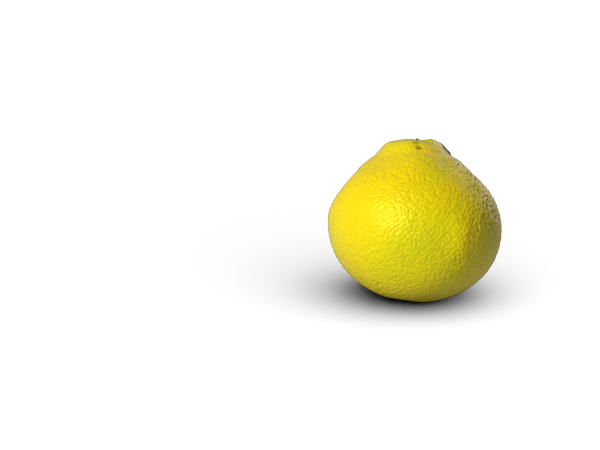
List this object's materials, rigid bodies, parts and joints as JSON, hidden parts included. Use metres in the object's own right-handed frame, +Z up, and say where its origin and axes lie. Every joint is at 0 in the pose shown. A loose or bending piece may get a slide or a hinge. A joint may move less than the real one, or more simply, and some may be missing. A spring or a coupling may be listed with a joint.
{
  "type": "bergamot orange",
  "caption": "Whole ripening bergamot orange with a furrowed crown and a dry star-shaped calyx, resting on a small flat spot.",
  "frame": {"origin": "centre of the flat spot that the fruit rests on", "axes": "+Z up, away from the surface it rests on; +X to the right and +Y to the back as the fruit is seen in the picture"},
  "size_m": [0.0723, 0.0718, 0.0682],
  "materials": {
    "rind": "waxy yellow-green rind, pitted by oil glands, softly glossy",
    "dry_calyx": "dry brown corky tissue, dull"
  },
  "bodies": {
    "root": {"fruit": "rind", "calyx": "dry_calyx"}
  },
  "joints": []
}
